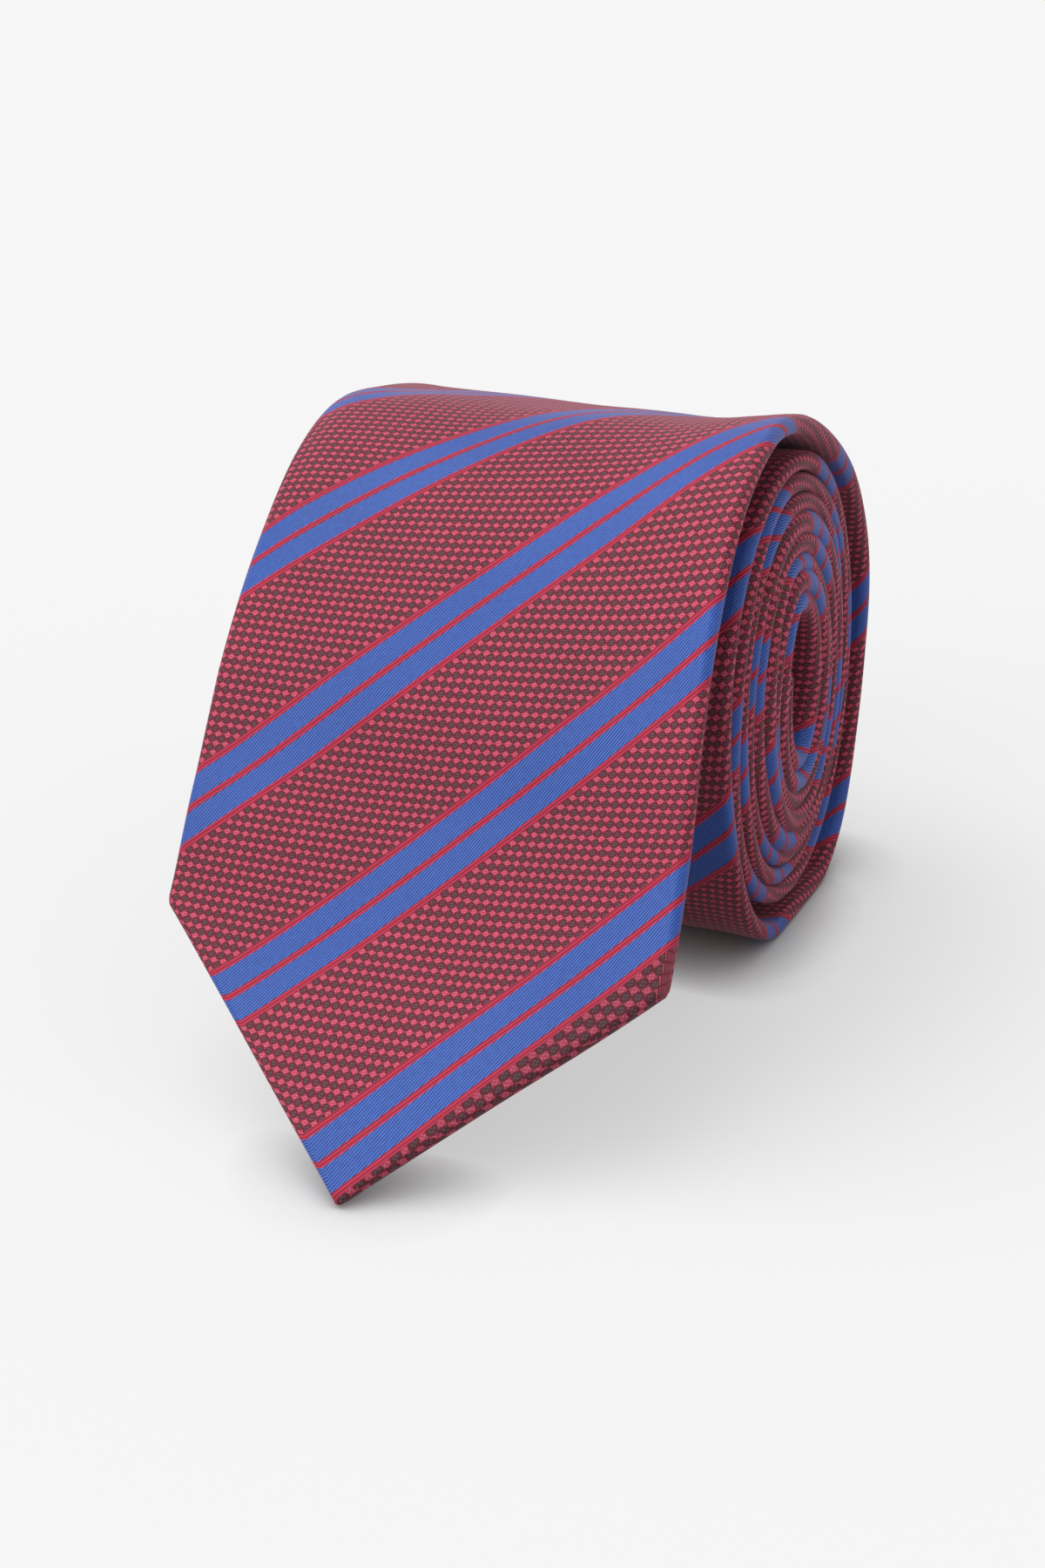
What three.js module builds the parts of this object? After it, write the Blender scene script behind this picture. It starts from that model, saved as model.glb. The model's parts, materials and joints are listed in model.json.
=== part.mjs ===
// A striped necktie, rolled up from its narrow tail into an upright oval coil. The broad blade
// comes over the top of the coil and leans down in front of it to its pointed tip.
//
// Every piece is drawn flat first, as a section extruded along the tie, and then rolled up: a
// vertex at distance s from the tip, x across the tie and n above its middle moves to the place
// that the rolled tie has at s. Millimetres, X along the coil's axis, Y to its back, Z up.

import * as THREE from 'three';
import { mergeVertices } from 'three/addons/utils/BufferGeometryUtils.js';

// Driving dimensions of the flat tie
const BLADE_HALF_WIDTH = 40;
const NECK_HALF_WIDTH = 18;
const TAIL_HALF_WIDTH = 24;
const BLADE_TAPER = 0.037;
const TAIL_TAPER = 0.013;
const TIE_THICKNESS = 2.6;
const CLOTH = 0.5;
const EASE = 0.3;
const POINT_BLUNTNESS = 1.2;
const HEM = 12;
const BLADE_OPENING = 112;
const TAIL_OPENING = 60;
const BLADE_JOIN = 640;
const TAIL_JOIN = 960;

// Driving dimensions of the roll: half-heights and half-depths of the innermost turn, and the
// clearance between two turns on each side
const TURNS = 9.2;
const ROLL_CENTRE = { y: 106.3, z: 44 };
const ROLL_LEAN = 0.11;
const CORE = { top: 12.9, bottom: 10.1, front: 4.4, back: 6 };
const TURN_EASE = { top: 0.65, bottom: 0.75, front: 0.56, back: 0.7 };
const FLUSH_EDGE = 33;
const FLUSH_DRIFT = 0.0015;
const STATIONS_PER_TURN = 24;

// Middle line of the free blade and of the loose outer turn: Y from the tip, Z above the floor.
// These points lie round a roll of so many turns of a tie so thick, and move with the real roll.
const LAID_ROUND = { turns: 9.2, thickness: 2.6 };
const FREE_BLADE = [
  [0, 1.3], [14, 15.4], [28, 29.5], [37.5, 45], [44.5, 62], [55, 79], [67, 90],
];
const CREST = [82, 94.7];
const OUTER_TURN = [
  [98, 92], [116.5, 83.4], [134, 70.5], [145, 55], [149, 38], [146, 20.5], [138, 7],
  [126.5, 1], [106.5, 1], [94, 7], [82, 22.5],
];
const OVAL_FROM_TURN = 0.75;

// Driving dimensions of the small pieces
const KEEPER = { from: 228, length: 10, width: 44, thickness: 0.8 };
const MAKER_LABEL = { from: 84, length: 15, width: 46, thickness: 0.3 };
const CARE_LABEL = { from: 52, length: 20, width: 11, thickness: 0.3, centre: -11.5 };
const STITCH = { length: 1, width: 8, thickness: 0.5 };
const THREAD_WIDTH = 0.5;

const HALF_THICKNESS = TIE_THICKNESS / 2;
const SEAM_HALF_GAP = THREAD_WIDTH / 2 + EASE;
const INTERLINING_INSET = HALF_THICKNESS + EASE;
const CORE_HALF_THICKNESS = HALF_THICKNESS - CLOTH - EASE;

const FABRICS = {
  silk: { color: 0x8c2f45, roughness: 0.55, metalness: 0 },
  wool: { color: 0xe9e2d2, roughness: 0.95, metalness: 0 },
  lining: { color: 0x5c1626, roughness: 0.35, metalness: 0 },
  thread: { color: 0x7a1f33, roughness: 0.7, metalness: 0 },
  label: { color: 0x23305f, roughness: 0.5, metalness: 0 },
};

// ---------------------------------------------------------------- the rolled tie's middle line

/** How far a side of the coil is from its centre, so many turns out from the innermost one. */
function reachOf(side, turnsOut, thickness = TIE_THICKNESS) {
  return CORE[side] + (thickness + TURN_EASE[side]) * turnsOut;
}

/** How much larger a side of the coil is than the one that the chosen points lie round. */
function growth(side) {
  return reachOf(side, TURNS) / reachOf(side, LAID_ROUND.turns, LAID_ROUND.thickness);
}

const CENTRE_HEIGHT = ROLL_CENTRE.z * growth('bottom');

/** A chosen point [y, z], moved out from the coil's centre as far as the coil has grown. */
function aroundRoll([y, z]) {
  const depth = y - ROLL_CENTRE.y;
  const height = z - ROLL_CENTRE.z;
  return [
    ROLL_CENTRE.y + depth * growth(depth > 0 ? 'back' : 'front'),
    CENTRE_HEIGHT + height * growth(height > 0 ? 'top' : 'bottom'),
  ];
}

/** A point of the oval coil after a number of turns from the crest. */
function ovalPoint(turn) {
  const angle = turn * 2 * Math.PI;
  const further = TURNS - turn;
  const across = Math.sin(angle);
  const upward = Math.cos(angle);
  const depth = reachOf(across > 0 ? 'back' : 'front', further);
  const height = reachOf(upward > 0 ? 'top' : 'bottom', further);
  const rise = height * upward;
  return [ROLL_CENTRE.y + depth * across - ROLL_LEAN * rise, CENTRE_HEIGHT + rise];
}

/** The middle line as a fine polyline: [y, z, true where the tie may be cut into stations]. */
function middleLine() {
  const chosen = [...FREE_BLADE, CREST, ...OUTER_TURN].map(aroundRoll);
  const lead = [0, 1].map((k) => ovalPoint(OVAL_FROM_TURN + k / STATIONS_PER_TURN * 2));
  const knots = [...chosen, ...lead].map(([y, z]) => new THREE.Vector3(0, y, z));
  const curve = new THREE.CatmullRomCurve3(knots, false, 'centripetal');
  const spans = knots.length - 1;
  const stepsPerSpan = 12;
  const points = [];
  for (let k = 0; k <= chosen.length * stepsPerSpan; k += 1) {
    const { y, z } = curve.getPoint(k / stepsPerSpan / spans);
    points.push([y, Math.max(z, HALF_THICKNESS), k % (stepsPerSpan / 2) === 0]);
  }
  const fine = 10;
  const steps = Math.round((TURNS - OVAL_FROM_TURN) * STATIONS_PER_TURN * fine);
  for (let k = 1; k <= steps; k += 1) {
    const [y, z] = ovalPoint(OVAL_FROM_TURN + k / (STATIONS_PER_TURN * fine));
    points.push([y, z, k % fine === 0]);
  }
  return points;
}

const LINE = middleLine();
const DISTANCE = [0];
for (let k = 1; k < LINE.length; k += 1) {
  DISTANCE.push(DISTANCE[k - 1] + Math.hypot(LINE[k][0] - LINE[k - 1][0], LINE[k][1] - LINE[k - 1][1]));
}
const TIE_LENGTH = DISTANCE[DISTANCE.length - 1];
const CREST_Y = aroundRoll(CREST)[0];
const CREST_AT = DISTANCE[LINE.findIndex(([y], k) => LINE[k][2] && Math.abs(y - CREST_Y) < 1e-6)];

/** Index of the last point of the middle line at or before a distance. */
function indexAt(s) {
  let low = 0;
  let high = LINE.length - 2;
  while (low < high) {
    const middle = Math.ceil((low + high) / 2);
    if (DISTANCE[middle] <= s) low = middle;
    else high = middle - 1;
  }
  return low;
}

/** Where the middle line is at a distance from the tip. */
function pointAt(s) {
  const k = indexAt(s);
  const t = (s - DISTANCE[k]) / (DISTANCE[k + 1] - DISTANCE[k]);
  return [0, 1].map((i) => LINE[k][i] + (LINE[k + 1][i] - LINE[k][i]) * t);
}

/** The middle line's place and outward normal, and the middle of the tie's width, at s. */
function placeAt(s) {
  const reach = 0.6;
  const [y, z] = pointAt(s);
  const [y0, z0] = pointAt(Math.max(0, s - reach));
  const [y1, z1] = pointAt(Math.min(TIE_LENGTH, s + reach));
  const length = Math.hypot(y1 - y0, z1 - z0);
  const flushEdge = FLUSH_EDGE + FLUSH_DRIFT * (s - CREST_AT);
  const shift = s > CREST_AT ? Math.max(0, flushEdge - halfWidth(Math.min(s, tailCorner()))) : 0;
  return { x: shift, y, z, ny: -(z1 - z0) / length, nz: (y1 - y0) / length };
}

// ---------------------------------------------------------------- the flat tie's outline

/** Distance of the tail's corners from the blade's tip. */
function tailCorner() {
  return TIE_LENGTH - TAIL_HALF_WIDTH;
}

/** Half the tie's width at s, with a right-angled point at each end. */
function halfWidth(s) {
  const blade = BLADE_HALF_WIDTH - BLADE_TAPER * (s - BLADE_HALF_WIDTH);
  const tail = TAIL_HALF_WIDTH - TAIL_TAPER * (tailCorner() - s);
  const bladePoint = s + POINT_BLUNTNESS;
  const tailPoint = TIE_LENGTH - s + POINT_BLUNTNESS;
  return Math.min(bladePoint, tailPoint, Math.max(blade, NECK_HALF_WIDTH, Math.min(tail, TAIL_HALF_WIDTH)));
}

/** Half the gap between the two back flaps at s: the centre seam, and a V towards each end. */
function backOpening(s) {
  const slope = 0.45;
  const blade = (BLADE_OPENING - s) * slope;
  const tail = (s - (TIE_LENGTH - TAIL_OPENING)) * slope;
  const hemmed = halfWidth(s) - HEM;
  const limit = halfWidth(s) * 0.3;
  return Math.max(Math.min(SEAM_HALF_GAP, limit), Math.min(hemmed, Math.max(blade, tail)));
}

// ---------------------------------------------------------------- rolling up

/** Distances at which a piece between two ends is bent. */
function stationsBetween(from, to) {
  const apart = 1.5;
  const inside = DISTANCE.filter((s, k) => LINE[k][2] && s > from + apart && s < to - apart);
  return [from, ...inside, to];
}

/**
 * Extrudes a section along the tie from one distance to another, and rolls it up.
 * across(x, s) gives the distance from the tie's middle of the section's x at s.
 */
function rollUp(section, from, to, across) {
  const stations = stationsBetween(from, to);
  const steps = stations.length - 1;
  const solid = new THREE.ExtrudeGeometry(section, { steps, depth: steps, bevelEnabled: false });
  const places = stations.map(placeAt);
  const points = solid.getAttribute('position');
  for (let k = 0; k < points.count; k += 1) {
    const station = Math.round(points.getZ(k));
    const place = places[station];
    const x = place.x - across(points.getX(k), stations[station]);
    const n = points.getY(k);
    points.setXYZ(k, x, place.y + n * place.ny, place.z + n * place.nz);
  }
  solid.deleteAttribute('normal');
  solid.deleteAttribute('uv');
  const closed = mergeVertices(solid, 1e-3);
  closed.computeVertexNormals();
  return closed;
}

/**
 * The folded shell cloth from one distance to another: front, two folded edges and two back
 * flaps. In the section, x is 1 at the back opening, 2 at a fold's shoulder and 3 at the fold.
 */
function foldedShell(from, to) {
  const outer = HALF_THICKNESS;
  const inner = HALF_THICKNESS - CLOTH;
  const foldInside = 2.54;
  const side = [[1, -outer], [2, -outer], [3, 0], [2, outer]];
  const inside = [[2, inner], [foldInside, 0], [2, -inner], [1, -inner]];
  const section = new THREE.Shape([
    ...side, ...side.map(([x, n]) => [-x, n]).reverse(),
    ...inside.map(([x, n]) => [-x, n]).reverse(), ...inside,
  ].map(([x, n]) => new THREE.Vector2(x, n)));
  return rollUp(section, from, to, (x, s) => {
    const width = halfWidth(s);
    const shoulder = width - Math.min(HALF_THICKNESS, width * 0.35);
    const stops = [0, backOpening(s), shoulder, width];
    const size = Math.abs(x);
    const k = Math.min(2, Math.floor(size));
    return Math.sign(x) * (stops[k] + (stops[k + 1] - stops[k]) * (size - k));
  });
}

/** A flat strip between two heights above the tie's middle, centred at x, rolled up. */
function strip({ from, to, low, high, half, centre = 0 }) {
  const section = new THREE.Shape([
    new THREE.Vector2(-1, low), new THREE.Vector2(1, low),
    new THREE.Vector2(1, high), new THREE.Vector2(-1, high),
  ]);
  return rollUp(section, from, to, (x, s) => centre + x * half(s));
}

// ---------------------------------------------------------------- the pieces

const BLADE_END = BLADE_JOIN - EASE / 2;
const NECK_START = BLADE_JOIN + EASE / 2;
const NECK_END = TAIL_JOIN - EASE / 2;
const TAIL_START = TAIL_JOIN + EASE / 2;
const FREE_END = CREST_AT - EASE / 2;
const ROLLED_START = CREST_AT + EASE / 2;

/** Half the interlining's width: it stops short of the folds and of the two points. */
function interliningHalf(s) {
  const shortOfPoint = INTERLINING_INSET * 2;
  const ends = Math.min(s, TIE_LENGTH - s) + POINT_BLUNTNESS - shortOfPoint;
  return Math.min(halfWidth(s) - INTERLINING_INSET, ends);
}

function interlining(from, to) {
  return strip({ from, to, low: -CORE_HALF_THICKNESS, high: CORE_HALF_THICKNESS, half: interliningHalf });
}

/** The satin that fills the V between the back flaps at one end. */
function tipping(from, to) {
  return strip({
    from, to, low: -HALF_THICKNESS, high: -HALF_THICKNESS + CLOTH, half: (s) => backOpening(s) - EASE,
  });
}

/** A piece of cloth lying on the tie's back, one layer out for each piece below it. */
function onBack({ from, length, width, thickness, centre = 0, below = 0 }) {
  const high = -HALF_THICKNESS - EASE - below;
  return strip({ from, to: from + length, low: high - thickness, high, half: () => width / 2, centre });
}

function barTack(at) {
  return onBack({ ...STITCH, from: at });
}

/** A short stitch at one end, -1 or 1, of a piece that lies on the tie's back. */
function endStitch(piece, end) {
  return onBack({
    from: piece.from + CLOTH,
    length: piece.length - 2 * CLOTH,
    width: STITCH.length,
    thickness: STITCH.thickness,
    centre: end * ((piece.width - STITCH.length) / 2 - CLOTH),
    below: piece.thickness + EASE,
  });
}

const TIPPING_START = HEM + SEAM_HALF_GAP + EASE + POINT_BLUNTNESS;
const BLADE_TACK_AT = BLADE_OPENING + STITCH.length;
const TAIL_TACK_AT = TIE_LENGTH - TAIL_OPENING - 2 * STITCH.length;

const PIECES = [
  ['front_blade_free_end', 'silk', () => foldedShell(0, FREE_END)],
  ['front_blade_rolled', 'silk', () => foldedShell(ROLLED_START, BLADE_END)],
  ['neck_gusset', 'silk', () => foldedShell(NECK_START, NECK_END)],
  ['tail_blade', 'silk', () => foldedShell(TAIL_START, TIE_LENGTH)],
  ['interlining_free_end', 'wool', () => interlining(INTERLINING_INSET * 2, FREE_END)],
  ['interlining_rolled', 'wool', () => interlining(ROLLED_START, TIE_LENGTH - INTERLINING_INSET * 2)],
  ['front_tipping', 'lining', () => tipping(TIPPING_START, BLADE_OPENING - 2 * STITCH.length)],
  ['tail_tipping', 'lining', () => tipping(
    TIE_LENGTH - TAIL_OPENING + 2 * STITCH.length, TIE_LENGTH - TIPPING_START)],
  ['keeper_loop', 'silk', () => onBack(KEEPER)],
  ['keeper_stitch_left', 'thread', () => endStitch(KEEPER, 1)],
  ['keeper_stitch_right', 'thread', () => endStitch(KEEPER, -1)],
  ['maker_label', 'label', () => onBack(MAKER_LABEL)],
  ['label_stitch_left', 'thread', () => endStitch(MAKER_LABEL, 1)],
  ['label_stitch_right', 'thread', () => endStitch(MAKER_LABEL, -1)],
  ['care_label', 'label', () => onBack(CARE_LABEL)],
  ['front_bar_tack', 'thread', () => barTack(BLADE_TACK_AT)],
  ['tail_bar_tack', 'thread', () => barTack(TAIL_TACK_AT)],
  ['slip_stitch', 'thread', () => strip({
    from: ROLLED_START,
    to: TAIL_TACK_AT,
    low: -HALF_THICKNESS,
    high: -HALF_THICKNESS + CLOTH,
    half: () => THREAD_WIDTH / 2,
  })],
];

const group = new THREE.Group();
for (const [name, fabric, shape] of PIECES) {
  const mesh = new THREE.Mesh(shape(), new THREE.MeshStandardMaterial(FABRICS[fabric]));
  mesh.name = name;
  group.add(mesh);
}

// The origin is under the middle of the whole tie, on the surface that it stands on.
const extent = new THREE.Box3().setFromObject(group);
const middle = extent.getCenter(new THREE.Vector3());
group.position.set(-middle.x, -middle.y, -extent.min.z);

export default group;
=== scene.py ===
"""A striped silk necktie, rolled up from its narrow tail and standing on its coil.

Every soft piece is cut flat first, in the cloth's own measure, and then laid along the tie's
middle line: a point at distance s from the blade's tip, x across the tie and n above its middle
goes to the place that the rolled tie has at s. Droop, curl, hems and slack are moved in one by one.
Lengths are millimetres until a mesh is made, which is in metres.
"""

from __future__ import annotations

import json
import logging
import math
from dataclasses import dataclass, field
from enum import Enum
from typing import Callable, Optional, Sequence

import bmesh
import bpy
import numpy as np
from mathutils import Matrix, Vector


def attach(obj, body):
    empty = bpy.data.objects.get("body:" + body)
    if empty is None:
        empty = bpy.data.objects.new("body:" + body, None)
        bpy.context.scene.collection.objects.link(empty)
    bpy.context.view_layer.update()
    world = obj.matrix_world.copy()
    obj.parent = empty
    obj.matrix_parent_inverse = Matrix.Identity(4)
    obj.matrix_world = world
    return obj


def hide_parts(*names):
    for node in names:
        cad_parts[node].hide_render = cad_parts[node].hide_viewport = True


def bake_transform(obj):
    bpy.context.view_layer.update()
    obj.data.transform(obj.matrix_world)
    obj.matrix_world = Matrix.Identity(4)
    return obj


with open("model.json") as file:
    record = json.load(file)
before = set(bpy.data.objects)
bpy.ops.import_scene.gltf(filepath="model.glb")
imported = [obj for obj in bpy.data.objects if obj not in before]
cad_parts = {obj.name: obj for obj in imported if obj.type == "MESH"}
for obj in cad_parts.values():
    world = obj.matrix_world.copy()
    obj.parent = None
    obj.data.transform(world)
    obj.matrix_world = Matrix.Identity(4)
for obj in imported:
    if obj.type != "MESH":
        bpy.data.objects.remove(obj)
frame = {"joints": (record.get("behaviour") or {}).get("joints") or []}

MM = 0.001
CLOTH_MAP = "cloth_mm"
# the attribute that holds the painted highlight along the crest of each folded edge
FOLD_HIGHLIGHT = "fold_highlight"
CREST_CUT = 150.0  # the blade's cloth and interlining are each two lengths, cut behind the crest
SHARP_FROM = math.radians(50.0)
STRAND_SIDES = 6
LOG = logging.getLogger("necktie")

Points = np.ndarray
Colour = tuple[float, float, float]


def smooth(value: Points | float, low: float, high: float) -> Points:
    """Eases a value from 0 at low to 1 at high."""
    t = np.clip((np.asarray(value, float) - low) / (high - low), 0.0, 1.0)
    return t * t * (3.0 - 2.0 * t)


def hump(value: Points | float, middle: float, reach: float) -> Points:
    """A soft hump, 1 at the middle and 0 beyond its reach."""
    return 1.0 - smooth(np.abs(np.asarray(value, float) - middle), 0.0, reach)


# ------------------------------------------------------------------------- the tie's form


@dataclass(frozen=True)
class FlatTie:
    """The finished tie laid flat, in millimetres."""

    blade_half: float = 40.0
    neck_half: float = 18.0
    tail_half: float = 24.0
    blade_taper: float = 0.037
    tail_taper: float = 0.013
    thickness: float = 2.6
    cloth: float = 0.5
    hem: float = 12.0
    bluntness: float = 1.2
    blade_opening: float = 112.0
    tail_opening: float = 60.0
    flap_slope: float = 0.45
    seam_gap: float = 0.1
    blade_join: float = 640.0
    tail_join: float = 960.0
    length: float = 1534.2

    def half_width(self, s: Points) -> Points:
        """Half the tie's width.

        Args:
            s: Distances from the blade's tip.

        Returns:
            Half widths, with a right-angled point at each end.
        """
        tail_corner = self.length - self.tail_half
        blade = self.blade_half - self.blade_taper * (s - self.blade_half)
        tail = self.tail_half - self.tail_taper * (tail_corner - s)
        body = np.maximum(np.maximum(blade, self.neck_half), np.minimum(tail, self.tail_half))
        points = np.minimum(s + self.bluntness, self.length - s + self.bluntness)
        return np.minimum(points, body)

    def back_opening(self, s: Points) -> Points:
        """Half the gap between the two back flaps.

        Args:
            s: Distances from the blade's tip.

        Returns:
            Half gaps: nearly nothing along the seam, and a V towards each end.
        """
        width = self.half_width(s)
        v_blade = (self.blade_opening - s) * self.flap_slope
        v_tail = (s - (self.length - self.tail_opening)) * self.flap_slope
        seam = np.minimum(self.seam_gap, 0.3 * width)
        return np.maximum(seam, np.minimum(width - self.hem, np.maximum(v_blade, v_tail)))


@dataclass
class RolledLine:
    """The middle line of the rolled tie, seen from its side: Y from the tip and Z up."""

    turns: float = 9.2
    centre: tuple[float, float] = (105.3, 44.0)
    lean: float = 0.11
    core: dict[str, float] = field(
        default_factory=lambda: {"top": 12.9, "bottom": 10.1, "front": 4.4, "back": 6.0}
    )
    pitch: dict[str, float] = field(
        default_factory=lambda: {"top": 3.25, "bottom": 3.35, "front": 3.16, "back": 3.3}
    )
    free_blade: tuple[tuple[float, float], ...] = (
        (0, 1.3), (14, 15.4), (28, 29.5), (37.5, 45), (44.5, 62), (55, 79), (67, 90),
    )
    crest: tuple[float, float] = (82, 94.7)
    outer_turn: tuple[tuple[float, float], ...] = (
        (98, 92), (116.5, 83.4), (134, 70.5), (145, 55), (149, 38), (146, 20.5), (138, 7),
        (126.5, 1), (106.5, 1), (94, 7), (82, 22.5),
    )
    oval_from: float = 0.75
    lowest: float = 1.3
    steps_per_span: int = 12
    steps_per_turn: int = 240

    def __post_init__(self) -> None:
        """Walks the line once and keeps its points and distances."""
        chosen = [*self.free_blade, self.crest, *self.outer_turn]
        lead = [self.oval_point(self.oval_from + k / 12) for k in (0, 1)]
        knots = np.array([*chosen, *lead], float)
        points = [self._curve(knots, k / self.steps_per_span)
                  for k in range(len(chosen) * self.steps_per_span + 1)]
        points = [(y, max(z, self.lowest)) for y, z in points]
        steps = round((self.turns - self.oval_from) * self.steps_per_turn)
        points += [self.oval_point(self.oval_from + k / self.steps_per_turn)
                   for k in range(1, steps + 1)]
        line = np.array(points)
        self.distance = np.concatenate(
            ([0.0], np.cumsum(np.hypot(*np.diff(line, axis=0).T)))
        )
        self.line = line
        self.length = float(self.distance[-1])
        at_crest = len(self.free_blade) * self.steps_per_span
        self.crest_at = float(self.distance[at_crest])
        hinge = frame["joints"][0]["pos_m"]
        self.shift = hinge[1] / MM - self.crest[0]

    def oval_point(self, turn: float) -> tuple[float, float]:
        """A point of the oval coil, so many turns after the crest."""
        angle = turn * 2 * math.pi
        across, upward = math.sin(angle), math.cos(angle)
        side = "back" if across > 0 else "front"
        end = "top" if upward > 0 else "bottom"
        further = self.turns - turn
        depth = (self.core[side] + self.pitch[side] * further) * across
        rise = (self.core[end] + self.pitch[end] * further) * upward
        return self.centre[0] + depth - self.lean * rise, self.centre[1] + rise

    @staticmethod
    def _curve(knots: Points, at: float) -> Points:
        """A point of the centripetal curve through the knots.

        Args:
            knots: The points that the curve goes through.
            at: How many knots along.

        Returns:
            The point's Y and Z.
        """
        k = min(int(at), len(knots) - 2)
        before = 2 * knots[0] - knots[1] if k == 0 else knots[k - 1]
        after = 2 * knots[-1] - knots[-2] if k + 2 >= len(knots) else knots[k + 2]
        here, there = knots[k], knots[k + 1]
        d0, d1, d2 = (
            math.sqrt(max(1e-8, float(np.linalg.norm(b - a))))
            for a, b in ((before, here), (here, there), (there, after))
        )
        leave = ((here - before) / d0 - (there - before) / (d0 + d1) + (there - here) / d1) * d1
        arrive = ((there - here) / d1 - (after - here) / (d1 + d2) + (after - there) / d2) * d1
        t = at - k
        return (
            here + leave * t + (3 * (there - here) - 2 * leave - arrive) * t * t
            + (2 * (here - there) + leave + arrive) * t**3
        )

    def at(self, s: Points) -> tuple[Points, Points]:
        """The line's Y and Z at distances from the tip, straight on before the tip."""
        y = np.interp(s, self.distance, self.line[:, 0])
        z = np.interp(s, self.distance, self.line[:, 1])
        short = np.minimum(s, 0.0)
        slope = (self.line[2] - self.line[0]) / self.distance[2]
        return y + short * slope[0], z + short * slope[1]


@dataclass
class TieForm:
    """Lays flat points along the rolled tie."""

    flat: FlatTie
    line: RolledLine
    flush_edge: float = 33.0
    flush_drift: float = 0.0015
    reach: float = 1.0
    left_dip: float = 2.2
    middle_dip: float = 0.7
    corner_dip: float = 2.4
    belly: float = 1.5
    hug: float = 2.0
    slack: float = 0.16
    floor_gap: float = 0.04

    def middle_x(self, s: Points) -> Points:
        """The middle of the tie's width: the turns' right edges are nearly flush."""
        tail_corner = self.flat.length - self.flat.tail_half
        edge = self.flush_edge + self.flush_drift * (s - self.line.crest_at)
        shift = np.maximum(0.0, edge - self.flat.half_width(np.minimum(s, tail_corner)))
        uneven = 0.28 * np.sin(s / 31.0 + 0.6) + 0.2 * np.sin(s / 12.7)
        started = smooth(s, self.line.crest_at + 40, self.line.crest_at + 160)
        return np.where(s > self.line.crest_at, shift, 0.0) + uneven * started

    def droop(self, s: Points, x: Points) -> Points:
        """How far the cloth lies off the middle line, outward.

        Args:
            s: Distances from the tip.
            x: Places across, from the tie's own middle.

        Returns:
            Offsets along the tie's outward normal.
        """
        top = smooth(s, 62.0, 112.0) * (1.0 - smooth(s, 138.0, 178.0))
        dip = self.left_dip * (1.0 - smooth(x, 17.0, 36.0))
        dip = dip + self.middle_dip * (1.0 - smooth(x, -14.0, 17.0))
        corner = self.corner_dip * (1.0 - smooth(x, -40.0, -31.0))
        left = 1.0 - smooth(x, -40.0, 5.0)
        belly = self.belly * left * hump(s, 53.0, 20.0)
        ripple = (
            0.22 * np.sin(x / 9.0 + s / 23.0) * np.sin(s / 17.0 + 1.0)
            + 0.12 * np.sin(x / 4.1 - s / 11.0)
        ) * smooth(s, 6.0, 30.0)
        calm = 1.0 - smooth(s, self.line.crest_at, self.line.crest_at + 60.0)
        slack = self.slack * np.sin(s / 7.3 + x / 13.0) * (1.0 - calm)
        hug = self.hug * hump(s, 241.0, 36.0)
        return belly - hug - top * (dip + corner) + ripple * calm + slack

    def settle(self, s: Points, x: Points, n: Points) -> Points:
        """Moves flat points to their places on the rolled tie.

        Args:
            s: Distances from the tip.
            x: Places across, from the tie's middle.
            n: Heights above the tie's middle.

        Returns:
            Points in metres, one row each.
        """
        y, z = self.line.at(s)
        y0, z0 = self.line.at(s - self.reach)
        y1, z1 = self.line.at(s + self.reach)
        length = np.hypot(y1 - y0, z1 - z0)
        out = n + self.droop(s, x)
        y = y - out * (z1 - z0) / length + self.line.shift
        z = np.maximum(z + out * (y1 - y0) / length, self.floor_gap)
        return np.stack([self.middle_x(s) + x, y, z], axis=-1) * MM


@dataclass(frozen=True)
class Stations:
    """Distances at which a piece between two ends has a row of points."""

    start: float
    end: float
    step: float = 1.7

    def values(self) -> Points:
        """The distances, evenly spread."""
        count = max(1, math.ceil((self.end - self.start) / self.step))
        return np.linspace(self.start, self.end, count + 1)


# --------------------------------------------------------------------- making meshes of cloth


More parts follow.
